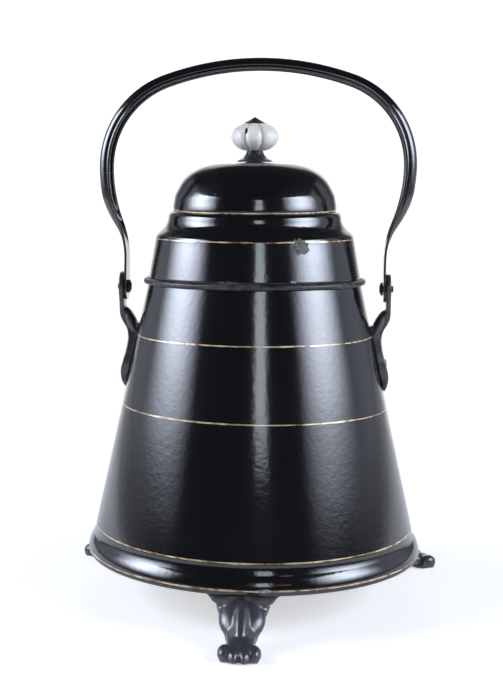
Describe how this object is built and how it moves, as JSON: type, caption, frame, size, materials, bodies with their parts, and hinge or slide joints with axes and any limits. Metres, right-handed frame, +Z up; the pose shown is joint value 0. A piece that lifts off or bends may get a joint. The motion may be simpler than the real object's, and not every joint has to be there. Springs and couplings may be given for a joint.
{
  "type": "charcoal extinguisher",
  "caption": "Conical sheet-steel pot on cast paw feet that smothers glowing charcoal under a lift-off domed lid with a lobed knob; a channel bail handle swings on riveted ear brackets.",
  "frame": {"origin": "on the pot's vertical axis, at the height of the feet's soles", "axes": "+Z up along the pot's axis; the front foot points along -Y; the handle's pivot axis runs along X"},
  "size_m": [0.2866, 0.2861, 0.4025],
  "materials": {
    "enamel": "glossy black enamel with fine gold lines",
    "handle_enamel": "glossy black enamel, worn at the edges",
    "cast_iron": "black enamelled cast iron",
    "sheet_steel": "dull sheet steel",
    "rivet_steel": "blackened steel",
    "knob_glass": "milk-white pressed glass",
    "cap_steel": "rusty brown steel"
  },
  "bodies": {
    "pot": {"body_shell": "enamel", "base_ring": "enamel", "body_floor": "sheet_steel", "foot_front": "cast_iron", "foot_right": "cast_iron", "foot_left": "cast_iron", "foot_rivets": "rivet_steel", "bracket_right": "cast_iron", "bracket_left": "cast_iron", "bracket_rivets": "rivet_steel", "pivot_rivets": "rivet_steel"},
    "lid": {"lid_skirt": "enamel", "lid_dome": "enamel", "knob_collar": "enamel", "knob": "knob_glass", "knob_cap": "cap_steel", "knob_stud": "rivet_steel", "knob_washer": "rivet_steel", "knob_nut": "rivet_steel"},
    "handle": {"handle": "handle_enamel"}
  },
  "joints": [
    {"name": "handle_swing", "type": "hinge", "parent": "pot", "child": "handle", "pos_m": [0, 0, 0.2277], "axis": [1, 0, 0], "range_deg": [-115, 115]},
    {"name": "lid_lift", "type": "slide", "parent": "pot", "child": "lid", "axis": [0, 0, 1], "range_m": [0, 0.032]}
  ]
}
